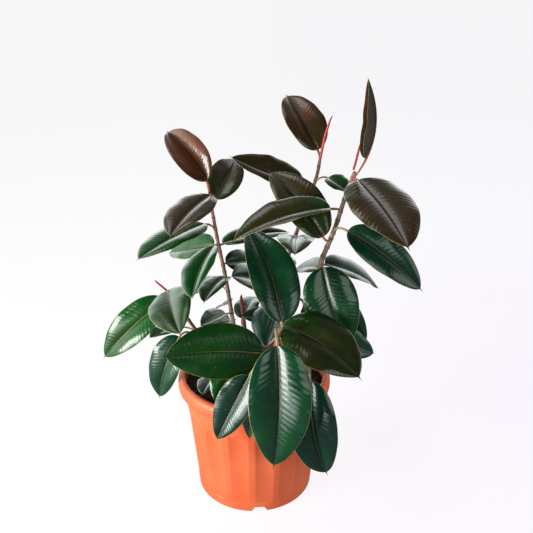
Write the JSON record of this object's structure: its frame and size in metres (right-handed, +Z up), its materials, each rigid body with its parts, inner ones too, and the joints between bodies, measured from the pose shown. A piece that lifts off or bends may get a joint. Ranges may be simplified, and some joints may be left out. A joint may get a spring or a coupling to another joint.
{
  "type": "potted rubber plant",
  "caption": "Rubber plant with glossy oval leaves on several woody shoots, in a fluted round plastic nursery pot with a rolled rim.",
  "frame": {"origin": "centre of the pot's underside, on the surface it stands on", "axes": "+Z up along the pot's axis, -Y towards the front, +X to the right"},
  "size_m": [0.5346, 0.4167, 0.7002],
  "materials": {
    "pot_plastic": "satin",
    "potting_mix": "rough",
    "bark": "rough",
    "green_bark": "satin",
    "bud_sheath": "satin",
    "leaf_mature": "glossy",
    "leaf_young": "glossy",
    "leaf_new": "satin"
  },
  "bodies": {
    "root": {"pot": "pot_plastic", "soil": "potting_mix", "stem_left": "bark", "stem_middle": "bark", "stem_right": "bark", "stem_front": "bark", "stem_low_left": "green_bark", "stem_back": "green_bark", "stem_low_right": "green_bark", "sheath_middle": "bud_sheath", "sheath_right": "bud_sheath", "sheath_back": "bud_sheath", "sheath_low_left": "bud_sheath", "leaf_left_1": "leaf_new", "leaf_left_2": "leaf_young", "leaf_left_3": "leaf_young", "leaf_left_4": "leaf_mature", "leaf_left_5": "leaf_mature", "leaf_left_6": "leaf_mature", "leaf_left_7": "leaf_young", "leaf_left_8": "leaf_mature", "leaf_left_9": "leaf_young", "leaf_left_10": "leaf_mature", "leaf_left_11": "leaf_mature", "leaf_left_12": "leaf_mature", "leaf_low_left_1": "leaf_mature", "leaf_low_left_2": "leaf_mature", "leaf_low_left_3": "leaf_mature", "leaf_low_left_4": "leaf_mature", "leaf_low_left_5": "leaf_mature", "leaf_back_1": "leaf_mature", "leaf_back_2": "leaf_mature", "leaf_front_1": "leaf_mature", "leaf_front_2": "leaf_mature", "leaf_front_3": "leaf_mature", "leaf_front_4": "leaf_mature", "leaf_front_5": "leaf_mature", "leaf_front_6": "leaf_mature", "leaf_front_7": "leaf_mature", "leaf_low_right_1": "leaf_mature", "leaf_low_right_2": "leaf_mature", "leaf_right_1": "leaf_young", "leaf_right_2": "leaf_young", "leaf_right_3": "leaf_young", "leaf_right_4": "leaf_young", "leaf_right_5": "leaf_mature", "leaf_right_6": "leaf_mature", "leaf_right_7": "leaf_mature", "leaf_right_8": "leaf_mature", "leaf_right_9": "leaf_mature", "leaf_right_10": "leaf_mature", "leaf_right_11": "leaf_mature", "leaf_middle_1": "leaf_young", "leaf_middle_2": "leaf_young", "leaf_middle_3": "leaf_mature", "leaf_middle_4": "leaf_mature", "leaf_middle_5": "leaf_mature", "leaf_middle_6": "leaf_mature", "leaf_middle_7": "leaf_mature"}
  },
  "joints": []
}
